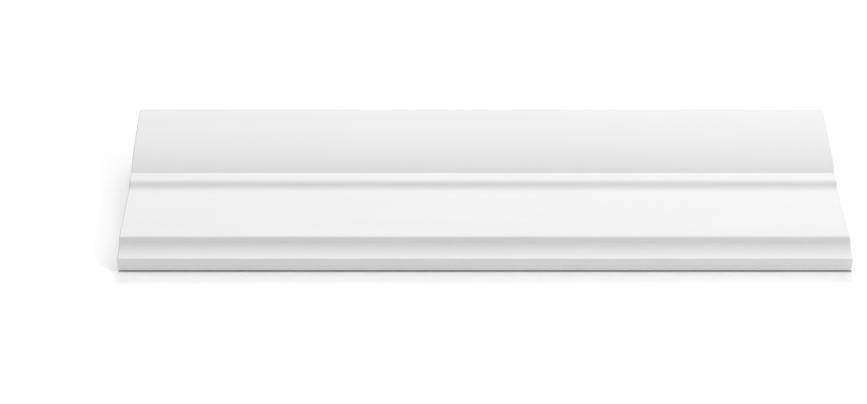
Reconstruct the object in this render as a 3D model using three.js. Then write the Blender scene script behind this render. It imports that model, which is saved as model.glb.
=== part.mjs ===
// A white moulded skirting board, lying on its back.
//
// Millimetres, +Z up. X runs along the board. Y runs across its face, from the thin top edge (-Y)
// to the thick foot that stands on the floor once the board is fixed (+Y). Z runs out of the flat
// back that goes against the wall. The origin is the middle of the back.

import * as THREE from 'three';

// Overall size
const boardLength = 500; // cut square at both ends
const boardHeight = 150; // from top edge to foot
const boardThickness = 33.1; // at the foot, where it is thickest

// The moulding, from the top edge to the foot: a run is across the face, a rise is out of the back,
// and a slope is in degrees from the plane of the back. The plain flat takes what is left between
// the bevel and the ogee.
const topEdgeRise = 11.4;
const scoopRun = 12.7;
const scoopStartSlope = 1;
const scoopEndSlope = 27;
const bevelSlope = 55;
const flatRise = 6.7; // of the flat above the top edge
const hollowRun = 5.7;
const roundRun = 4.1;
const ogeeRise = 3.1;
const bandRun = 7.6;
const ovoloRun = 64;
const ovoloReach = 96; // half width of the ellipse that the ovolo follows
const crownBeyond = 23.6; // from the foot out to that ellipse's highest point

// Rounded corners, and the easing of the back's two long corners that keeps it tight to the wall
const topArris = 0.5;
const bevelArris = 2.2;
const footArris = 0.7;
const easeRun = 3;
const easeRise = 1.5;

// Facets along each curve
const arrisSteps = 4;
const scoopSteps = 12;
const ogeeSteps = 8;
const ovoloSteps = 18;

// Places across the face, and levels above the back
const topEdge = -boardHeight / 2;
const foot = boardHeight / 2;
const bandEnd = foot - ovoloRun;
const bandStart = bandEnd - bandRun;
const flatEnd = bandStart - roundRun - hollowRun;
const flatLevel = topEdgeRise + flatRise;
const bandLevel = flatLevel + ogeeRise;

const toRadians = THREE.MathUtils.degToRad;
const toDegrees = THREE.MathUtils.radToDeg;

// Points along part of an ellipse, between two angles in degrees
function arc(centre, radii, fromAngle, toAngle, steps) {
  const from = toRadians(fromAngle);
  const to = toRadians(toAngle);
  const [across, out] = centre;
  const [radiusAcross, radiusOut] = radii;
  const curve = new THREE.EllipseCurve(across, out, radiusAcross, radiusOut, from, to, to < from);
  return curve.getPoints(steps);
}

// Points along part of a circle
function roundArc(across, out, radius, fromAngle, toAngle, steps) {
  return arc([across, out], [radius, radius], fromAngle, toAngle, steps);
}

// The flat back, with its eased corners
function backPoints() {
  return [
    new THREE.Vector2(topEdge, easeRise),
    new THREE.Vector2(topEdge + easeRun, 0),
    new THREE.Vector2(foot - easeRun, 0),
    new THREE.Vector2(foot, easeRise),
  ];
}

// The wide ovolo, nearly level at the rounded corner of the foot and steepest where it meets the band
function ovoloPoints() {
  const cornerStart = foot - footArris;
  const crown = foot + crownBeyond;
  const startTurn = Math.asin((crown - cornerStart) / ovoloReach);
  const endTurn = Math.asin((crown - bandEnd) / ovoloReach);
  const depth = (boardThickness - bandLevel) / (Math.cos(startTurn) - Math.cos(endTurn));
  const centre = [crown, boardThickness - depth * Math.cos(startTurn)];
  const startAngle = 90 + toDegrees(startTurn);
  const endAngle = 90 + toDegrees(endTurn);
  const corner = roundArc(cornerStart, boardThickness - footArris, footArris, 0, 90, arrisSteps);
  const face = arc(centre, [ovoloReach, depth], startAngle, endAngle, ovoloSteps);
  return [...corner, ...face.slice(1)];
}

// The soft step from the band down to the flat: a round, then a wider hollow
function ogeePoints() {
  const turn = 2 * Math.atan(ogeeRise / (roundRun + hollowRun));
  const angle = toDegrees(turn);
  const roundRadius = roundRun / Math.sin(turn);
  const hollowRadius = hollowRun / Math.sin(turn);
  const round = roundArc(bandStart, bandLevel - roundRadius, roundRadius, 90, 90 + angle, ogeeSteps);
  const hollow = roundArc(flatEnd, flatLevel + hollowRadius, hollowRadius, angle - 90, -90, ogeeSteps);
  return [...round, ...hollow.slice(1)];
}

// The rounded edge of the flat, and the shallow scoop that runs out to the top edge. The straight
// bevel is the line between the two.
function scoopPoints() {
  const startTurn = toRadians(scoopStartSlope);
  const endTurn = toRadians(scoopEndSlope);
  const bevelTurn = toRadians(bevelSlope);
  const scoopStart = topEdge + topArris;
  const radius = scoopRun / (Math.sin(endTurn) - Math.sin(startTurn));
  const centreAcross = scoopStart - radius * Math.sin(startTurn);
  const centreOut = topEdgeRise + radius * Math.cos(startTurn);
  const scoopTop = centreOut - radius * Math.cos(endTurn);
  const bevelTop = flatLevel - bevelArris * (1 - Math.cos(bevelTurn));
  const bevelRun = (bevelTop - scoopTop) / Math.tan(bevelTurn);
  const arrisAcross = scoopStart + scoopRun + bevelRun + bevelArris * Math.sin(bevelTurn);
  const arrisOut = flatLevel - bevelArris;
  const arris = roundArc(arrisAcross, arrisOut, bevelArris, 90, 90 + bevelSlope, arrisSteps);
  const endAngle = scoopEndSlope - 90;
  const startAngle = scoopStartSlope - 90;
  const scoop = roundArc(centreAcross, centreOut, radius, endAngle, startAngle, scoopSteps);
  return [...arris, ...scoop];
}

// The rounded corner between the scoop and the upright top edge
function topEdgePoints() {
  return roundArc(topEdge + topArris, topEdgeRise - topArris, topArris, 90, 180, arrisSteps);
}

// The whole outline, once round: back, foot, face, top edge
function boardSection() {
  return new THREE.Shape([
    ...backPoints(),
    ...ovoloPoints(),
    ...ogeePoints(),
    ...scoopPoints(),
    ...topEdgePoints().slice(1),
  ]);
}

// The section is drawn in X and Y and pulled along Z, then turned to run along X with its back down
const board = new THREE.Mesh(
  new THREE.ExtrudeGeometry(boardSection(), { depth: boardLength, bevelEnabled: false }),
  new THREE.MeshStandardMaterial({ color: 0xf3f3f3, roughness: 0.55, metalness: 0 }),
);
board.name = 'skirting_board';
board.rotation.set(Math.PI / 2, Math.PI / 2, 0);
board.position.x = -boardLength / 2;

const skirting = new THREE.Group();
skirting.add(board);

export default skirting;
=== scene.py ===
import math
import bmesh
import bpy
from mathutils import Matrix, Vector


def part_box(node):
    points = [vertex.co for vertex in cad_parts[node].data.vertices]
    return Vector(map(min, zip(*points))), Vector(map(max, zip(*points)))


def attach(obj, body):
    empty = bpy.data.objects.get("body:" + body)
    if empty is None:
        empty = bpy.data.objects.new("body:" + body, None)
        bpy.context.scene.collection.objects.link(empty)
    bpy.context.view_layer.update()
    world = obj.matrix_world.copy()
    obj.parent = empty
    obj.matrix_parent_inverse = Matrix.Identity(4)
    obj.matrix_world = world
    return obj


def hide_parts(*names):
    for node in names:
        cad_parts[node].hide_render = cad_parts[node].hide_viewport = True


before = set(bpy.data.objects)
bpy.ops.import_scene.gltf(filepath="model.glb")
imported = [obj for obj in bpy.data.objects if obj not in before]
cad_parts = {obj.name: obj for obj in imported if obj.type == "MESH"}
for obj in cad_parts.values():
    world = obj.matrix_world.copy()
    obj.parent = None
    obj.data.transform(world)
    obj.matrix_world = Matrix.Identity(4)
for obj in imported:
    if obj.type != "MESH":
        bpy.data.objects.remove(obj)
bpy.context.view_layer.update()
low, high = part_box("skirting_board")
topEdge, foot = low[1], high[1]  # thin long edge near the camera, thick one behind
boardLength = high[0] - low[0]
thickness = high[2]
hairline = 0.00001  # places closer than this count as one
squareOn = 0.99  # a normal this far along an axis faces that way
print("frame loaded, board", [round(b - a, 4) for a, b in zip(low, high)])


# view: the camera stands in front of the thin edge and looks down on the board

viewSetup = {
    "place": (-0.0351, -1.1436, 0.8515),
    "lookDown": 36.55,  # degrees below level
    "lens": 83.2,
    "sensor": 36.0,
    "clipStart": 0.01,
}


def addCamera():
    pitch = math.radians(90 - viewSetup["lookDown"])
    bpy.ops.object.camera_add(location=viewSetup["place"], rotation=(pitch, 0, 0))
    camera = bpy.context.object
    camera.name = "viewCamera"
    camera.data.sensor_width = viewSetup["sensor"]
    camera.data.lens = viewSetup["lens"]
    camera.data.clip_start = viewSetup["clipStart"]
    bpy.context.scene.camera = camera


# small helpers for modelling a run of faces edge by edge

def startFresh():
    if bpy.context.object and bpy.context.object.mode != "OBJECT":
        bpy.ops.object.mode_set(mode="OBJECT")
    bpy.ops.object.select_all(action="DESELECT")


def pick(piece, kind, test):
    mesh = bmesh.from_edit_mesh(piece.data)
    bpy.ops.mesh.select_mode(type=kind)
    bpy.ops.mesh.select_all(action="DESELECT")
    for part in {"VERT": mesh.verts, "EDGE": mesh.edges, "FACE": mesh.faces}[kind]:
        part.select = test(part)
    mesh.select_flush_mode()
    bmesh.update_edit_mesh(piece.data)


def edgeLevel(piece):  # place of the long edge that is selected
    mesh = bmesh.from_edit_mesh(piece.data)
    corner = next(vert for vert in mesh.verts if vert.select)
    return corner.co.y, corner.co.z


def straightRun(across, out):
    bpy.ops.mesh.extrude_edges_move(TRANSFORM_OT_translate={"value": (0, across, out)})


def roundRun(piece, radius, turn, steps, fromUp=0.0, squash=1.0):
    # turn above 0 bulges and below 0 hollows
    # fromUp is the angle of the start from straight above the centre, or straight below for a hollow
    across, out = edgeLevel(piece)
    side = -1 if turn > 0 else 1
    centre = (0, across + radius * math.sin(fromUp), out + side * radius * math.cos(fromUp))
    before = len(bmesh.from_edit_mesh(piece.data).verts)
    bpy.ops.mesh.spin(steps=steps, angle=turn, center=centre, axis=(1, 0, 0))
    if squash == 1.0:
        return
    mesh = bmesh.from_edit_mesh(piece.data)
    mesh.verts.index_update()
    mesh.edges.index_update()
    lastEdge = {edge.index for edge in mesh.edges if edge.select}
    pick(piece, "EDGE", lambda edge: all(vert.index >= before for vert in edge.verts))
    bpy.ops.transform.resize(value=(1, 1, squash), center_override=(0, across, out))
    pick(piece, "EDGE", lambda edge: edge.index in lastEdge)


# the board: one strip of faces pulled round the moulding, then closed at both ends

boardShape = {  # metres and degrees, runs across the face and rises out of the back
    "topEdgeRise": 0.0114,
    "scoopRun": 0.0127,
    "scoopStartSlope": 1.0,
    "scoopEndSlope": 27.0,
    "bevelSlope": 55.0,
    "flatRise": 0.0067,  # of the flat above the top edge
    "hollowRun": 0.0057,
    "roundRun": 0.0041,
    "ogeeRise": 0.0031,
    "bandRun": 0.0076,
    "ovoloRun": 0.064,
    "ovoloReach": 0.096,  # half width of the ellipse that the ovolo follows
    "crownBeyond": 0.0236,  # from the foot out to that ellipse's highest point
    "topArris": 0.0005,
    "bevelArris": 0.0022,
    "footArris": 0.0007,
    "easeRun": 0.003,
    "easeRise": 0.0015,
    "endArris": 0.0012,  # round the face, top edge and foot; the back stays flat to its ends
    "arrisSteps": 8,
    "scoopSteps": 24,
    "ogeeSteps": 14,
    "ovoloSteps": 40,
    "endSteps": 5,
    "mergeWithin": 0.000001,
    "smoothUnder": 23.0,  # sharper corners stay crisp
}


def easeEnd(board, side):
    # the end cap is pulled out in steps, and each step is drawn in and lowered a little more
    arris = boardShape["endArris"]
    steps = boardShape["endSteps"]
    capStart = boardLength / 2 - arris
    reached, drawnIn = 0.0, 0.0
    for step in range(1, steps + 1):
        turn = math.pi / 2 * step / steps
        reach = arris * math.sin(turn)
        inset = arris * (1 - math.cos(turn))
        pullOut = (side * (reach - reached), 0, 0)
        drawIn = (1, (foot - inset) / (foot - drawnIn), 1)
        pick(board, "FACE", lambda face: side * face.normal.x > squareOn)
        bpy.ops.mesh.extrude_region_move(TRANSFORM_OT_translate={"value": pullOut})
        bpy.ops.transform.resize(value=drawIn, center_override=(0, 0, 0))
        pick(board, "VERT", lambda vert: abs(side * vert.co.x - capStart - reach) < hairline
             and vert.co.z > boardShape["easeRise"] + hairline)
        bpy.ops.transform.translate(value=(0, 0, drawnIn - inset))
        reached, drawnIn = reach, inset


def makeBoard():
    shape = boardShape
    quarter = math.pi / 2
    startFresh()
    faceRise = shape["topEdgeRise"] - shape["topArris"] - shape["easeRise"]
    faceMiddle = shape["easeRise"] + faceRise / 2
    bpy.ops.mesh.primitive_plane_add(
        size=1, location=(0, topEdge, faceMiddle), rotation=(quarter, 0, 0))
    board = bpy.context.object
    board.name = "skirtingBoard"
    board.scale = (boardLength - 2 * shape["endArris"], faceRise, 1)
    bpy.ops.object.transform_apply(location=True, rotation=True, scale=True)
    bpy.ops.object.mode_set(mode="EDIT")
    upper = shape["easeRise"] + faceRise
    pick(board, "EDGE", lambda edge: all(abs(vert.co.z - upper) < hairline for vert in edge.verts))

    # top edge and shallow scoop
    roundRun(board, shape["topArris"], quarter, shape["arrisSteps"], fromUp=quarter)
    scoopStart = math.radians(shape["scoopStartSlope"])
    scoopEnd = math.radians(shape["scoopEndSlope"])
    scoopRadius = shape["scoopRun"] / (math.sin(scoopEnd) - math.sin(scoopStart))
    roundRun(board, scoopRadius, scoopStart - scoopEnd, shape["scoopSteps"], fromUp=-scoopStart)

    # bevel up to the rounded edge of the flat
    bevelTurn = math.radians(shape["bevelSlope"])
    flatLevel = shape["topEdgeRise"] + shape["flatRise"]
    bevelTop = flatLevel - shape["bevelArris"] * (1 - math.cos(bevelTurn))
    bevelRise = bevelTop - edgeLevel(board)[1]
    straightRun(bevelRise / math.tan(bevelTurn), bevelRise)
    roundRun(board, shape["bevelArris"], bevelTurn, shape["arrisSteps"], fromUp=bevelTurn)

    # flat, soft step and band
    flatStart = edgeLevel(board)[0]
    stepRun = shape["hollowRun"] + shape["roundRun"]
    flatEnd = foot - shape["ovoloRun"] - shape["bandRun"] - stepRun
    straightRun(flatEnd - flatStart, 0)
    stepTurn = 2 * math.atan(shape["ogeeRise"] / stepRun)
    hollowRadius = shape["hollowRun"] / math.sin(stepTurn)
    stepRadius = shape["roundRun"] / math.sin(stepTurn)
    roundRun(board, hollowRadius, -stepTurn, shape["ogeeSteps"])
    roundRun(board, stepRadius, stepTurn, shape["ogeeSteps"], fromUp=stepTurn)
    straightRun(shape["bandRun"], 0)

    # ovolo and foot
    across, out = edgeLevel(board)
    crown = foot + shape["crownBeyond"]
    ovoloStart = math.asin((crown - across) / shape["ovoloReach"])
    ovoloEnd = math.asin((crown - foot + shape["footArris"]) / shape["ovoloReach"])
    ovoloRise = shape["ovoloReach"] * (math.cos(ovoloEnd) - math.cos(ovoloStart))
    roundRun(board, shape["ovoloReach"], ovoloStart - ovoloEnd, shape["ovoloSteps"],
             fromUp=ovoloStart, squash=(thickness - out) / ovoloRise)
    roundRun(board, shape["footArris"], quarter, shape["arrisSteps"])
    straightRun(0, shape["easeRise"] + shape["footArris"] - thickness)

    # back, with both long corners eased
    straightRun(-shape["easeRun"], -shape["easeRise"])
    straightRun(topEdge - foot + 2 * shape["easeRun"], 0)
    straightRun(-shape["easeRun"], shape["easeRise"])

    # close the ends and ease their corners
    bpy.ops.mesh.select_all(action="SELECT")
    bpy.ops.mesh.remove_doubles(threshold=shape["mergeWithin"])
    bpy.ops.mesh.fill_holes(sides=0)
    bpy.ops.mesh.select_all(action="SELECT")
    bpy.ops.mesh.normals_make_consistent(inside=False)
    for side in (-1, 1):
        easeEnd(board, side)
    bpy.ops.object.mode_set(mode="OBJECT")

    # soft curves, crisp corners, and flats that stay flat
    bpy.ops.object.shade_smooth_by_angle(angle=math.radians(shape["smoothUnder"]))
    bpy.ops.object.modifier_add(type="WEIGHTED_NORMAL")
    board.modifiers[-1].keep_sharp = True
    bpy.ops.object.modifier_apply(modifier=board.modifiers[-1].name)
    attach(board, "root")
    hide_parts("skirting_board")
    print("board modelled,", len(board.data.polygons), "faces")
    return board


# finishes: small helpers, then one material for the face, one for the cut ends, and one for the back
# with the foot, whose grey is painted shade on the foot

def newMaterial(name):
    material = bpy.data.materials.new(name)
    material.use_nodes = True
    tree = material.node_tree
    place = tree.nodes.new("ShaderNodeTexCoord").outputs["Object"]
    return material, tree, tree.nodes["Principled BSDF"], place


def addNoise(tree, place, scale, stretch=(1, 1, 1), detail=3):
    mapping = tree.nodes.new("ShaderNodeMapping")
    mapping.inputs["Scale"].default_value = stretch
    noise = tree.nodes.new("ShaderNodeTexNoise")
    noise.inputs["Scale"].default_value = scale
    noise.inputs["Detail"].default_value = detail
    tree.links.new(place, mapping.inputs["Vector"])
    tree.links.new(mapping.outputs["Vector"], noise.inputs["Vector"])
    return noise.outputs["Fac"]


def addLines(tree, place, direction, spacing, wander):
    lines = tree.nodes.new("ShaderNodeTexWave")
    lines.bands_direction = direction
    lines.inputs["Scale"].default_value = math.pi / (10 * spacing)  # scale 1 is a line every pi / 10
    lines.inputs["Distortion"].default_value = wander
    tree.links.new(place, lines.inputs["Vector"])
    return lines.outputs["Fac"]


def addRange(tree, pattern, ends, target, upTo=1.0):
    spread = tree.nodes.new("ShaderNodeMapRange")
    spread.inputs["From Max"].default_value = upTo
    spread.inputs["To Min"].default_value = ends[0]
    spread.inputs["To Max"].default_value = ends[1]
    tree.links.new(pattern, spread.inputs["Value"])
    tree.links.new(spread.outputs["Result"], target)


def addBump(tree, pattern, depth, shader):
    bump = tree.nodes.new("ShaderNodeBump")
    bump.inputs["Strength"].default_value = 1.0
    bump.inputs["Distance"].default_value = depth
    tree.links.new(pattern, bump.inputs["Height"])
    tree.links.new(bump.outputs["Normal"], shader.inputs["Normal"])


faceFinish = {  # smooth matt white, drawn out along the board, with a very fine orange peel
    "white": (0.785, 0.815),
    "roughness": (0.62, 0.74),
    "streaks": 120,
    "streakStretch": (0.04, 1, 1),
    "patches": 22,
    "peel": 620,
    "peelDepth": 0.000025,
}


def makeFaceWhite():
    finish = faceFinish
    white, tree, shader, place = newMaterial("boardWhite")
    streaks = addNoise(tree, place, finish["streaks"], finish["streakStretch"])
    patches = addNoise(tree, place, finish["patches"])
    peel = addNoise(tree, place, finish["peel"])
    addRange(tree, streaks, finish["white"], shader.inputs["Base Color"])
    addRange(tree, patches, finish["roughness"], shader.inputs["Roughness"])
    addBump(tree, peel, finish["peelDepth"], shader)
    return white


endFinish = {  # a fine saw cut through the solid board, a little duller than the face
    "white": (0.66, 0.74),
    "roughness": (0.65, 0.85),
    "sawSpacing": 0.0013,
    "sawWander": 3.0,
    "grain": 1400,
    "cutDepth": 0.00006,
}


def makeEndWhite():
    finish = endFinish
    white, tree, shader, place = newMaterial("sawnEnd")
    cuts = addLines(tree, place, "Y", finish["sawSpacing"], finish["sawWander"])
    grain = addNoise(tree, place, finish["grain"])
    addRange(tree, grain, finish["white"], shader.inputs["Base Color"])
    addRange(tree, grain, finish["roughness"], shader.inputs["Roughness"])
    addBump(tree, cuts, finish["cutDepth"], shader)
    return white


backAndShadedFootFinish = {  # the plain back and foot, with faint lines drawn along them; the darker grey is the back's own plain finish, and on the foot it is painted shade that tempers the back lamps
    "white": (0.65, 0.71),
    "roughness": (0.6, 0.75),
    "lineSpacing": 0.004,
    "lineWander": 0.6,
    "patches": 30,
    "lineDepth": 0.00005,
}


def makeBackAndShadedFoot():
    finish = backAndShadedFootFinish
    white, tree, shader, place = newMaterial("plainBackAndShadedFoot")
    lines = addLines(tree, place, "Y", finish["lineSpacing"], finish["lineWander"])
    patches = addNoise(tree, place, finish["patches"])
    addRange(tree, patches, finish["white"], shader.inputs["Base Color"])
    addRange(tree, patches, finish["roughness"], shader.inputs["Roughness"])
    addBump(tree, lines, finish["lineDepth"], shader)
    return white


def paintBoard(board):
    for white in (makeFaceWhite(), makeEndWhite(), makeBackAndShadedFoot()):
        board.data.materials.append(white)
    startFresh()
    board.select_set(True)
    bpy.context.view_layer.objects.active = board
    bpy.ops.object.mode_set(mode="EDIT")
    pick(board, "FACE", lambda face: abs(face.normal.x) > squareOn)
    board.active_material_index = 1  # sawn ends
    bpy.ops.object.material_slot_assign()
    pick(board, "FACE", lambda face: face.normal.z < -squareOn or face.normal.y > squareOn)
    board.active_material_index = 2  # back, and the foot in painted shade
    bpy.ops.object.material_slot_assign()
    bpy.ops.object.mode_set(mode="OBJECT")
    print("board painted,", len(board.data.materials), "materials")


# studio: a white floor that glows as painted light, faintly round the board and fully further off,
# and soft round lamps in a ring around the board

studio = {
    "floorSize": 40.0,
    "floorGap": 0.0002,  # under the board
    "floorWhite": 0.93,
    "floorRoughness": 0.9,
    "floorGlow": 0.16,  # round the board
    "farGlow": 1.0,  # further off, where the lamps hardly reach
    "glowNear": 0.6,  # metres from the board where the glow starts to rise
    "glowFar": 3.0,  # and where it is full
    "underBoardShadeGrey": 0.55,  # grey paper that the board covers, painted shade darker than the floor
    "lampSize": 1.8,
    "lampDistance": 3.6,
    "lamps": {  # degrees round from straight behind towards the right, degrees up, watts
        "backLamp": (0, 40, 67),
        "lowBackLamp": (15, 25, 25),
        "backRightLamp": (60, 55, 23),
        "rightLamp": (110, 30, 68),
        "frontLamp": (180, 25, 8),
        "frontLeftLamp": (230, 45, 21),
        "leftLamp": (280, 45, 29),
    },
}


def makePaper(name, level):
    paper, tree, shader, place = newMaterial(name)
    shader.inputs["Base Color"].default_value = (level, level, level, 1)
    shader.inputs["Roughness"].default_value = studio["floorRoughness"]
    shader.inputs["Specular IOR Level"].default_value = 0.0
    return paper, tree, shader, place


def makeGlowingFloorPaper():
    paper, tree, shader, place = makePaper("glowingFloorPaper", studio["floorWhite"])
    shrink = tree.nodes.new("ShaderNodeMapping")
    shrink.inputs["Scale"].default_value = [1 / studio["glowFar"]] * 3
    fade = tree.nodes.new("ShaderNodeTexGradient")
    fade.gradient_type = "SPHERICAL"  # one at the board, nothing at glowFar
    tree.links.new(place, shrink.inputs["Vector"])
    tree.links.new(shrink.outputs["Vector"], fade.inputs["Vector"])
    # the floor's glow is painted light: it fills the board's shade and lifts the shadows round it
    shader.inputs["Emission Color"].default_value = (1, 1, 1, 1)
    addRange(tree, fade.outputs["Fac"], (studio["farGlow"], studio["floorGlow"]),
             shader.inputs["Emission Strength"], upTo=1 - studio["glowNear"] / studio["glowFar"])
    return paper


def makeFloor():
    startFresh()
    level = low[2] - studio["floorGap"]
    bpy.ops.mesh.primitive_plane_add(size=studio["floorSize"], location=(0, 0, level))
    floor = bpy.context.object
    floor.name = "floor"
    bpy.ops.object.transform_apply(location=True, rotation=True, scale=True)
    underShadePaper = makePaper("paintedShadeUnderBoard", studio["underBoardShadeGrey"])[0]
    floor.data.materials.append(makeGlowingFloorPaper())
    floor.data.materials.append(underShadePaper)

    # the patch that the board covers doesn't glow and is darker grey paper, painted shade that keeps
    # the gap along its long edges dark
    bpy.ops.object.mode_set(mode="EDIT")
    for corner in (low, high):
        for way in ((1, 0, 0), (0, 1, 0)):
            bpy.ops.mesh.select_all(action="SELECT")
            bpy.ops.mesh.bisect(plane_co=corner, plane_no=way)
    pick(floor, "FACE", lambda face: face.calc_center_median().length < boardLength)
    floor.active_material_index = 1  # darker paper under the board, painted shade
    bpy.ops.object.material_slot_assign()
    bpy.ops.object.mode_set(mode="OBJECT")


def makeLights():
    for name, (turn, up, watts) in studio["lamps"].items():
        side, rise = math.radians(turn), math.radians(up)
        away = studio["lampDistance"] * math.cos(rise)
        above = studio["lampDistance"] * math.sin(rise)
        place = (away * math.sin(side), away * math.cos(side), above)
        bpy.ops.object.light_add(type="AREA", location=place)
        lamp = bpy.context.object
        lamp.name = name
        lamp.data.shape = "DISK"
        lamp.data.size = studio["lampSize"]
        lamp.data.energy = watts
        lamp.rotation_euler = (-lamp.location).to_track_quat("-Z", "Y").to_euler()
        lamp.visible_camera = False

    # a white surround that only the camera sees
    world = bpy.data.worlds.new("studioWhite")
    world.use_nodes = True
    bpy.context.scene.world = world
    world.cycles_visibility.diffuse = False
    world.cycles_visibility.glossy = False
    surround = world.node_tree.nodes["Background"]
    surround.inputs["Color"].default_value = (1, 1, 1, 1)

    view = bpy.context.scene.view_settings
    view.view_transform = "Standard"
    view.look = "None"
    print("studio set,", len(studio["lamps"]), "lamps")


addCamera()
boardPiece = makeBoard()
paintBoard(boardPiece)
makeFloor()
makeLights()
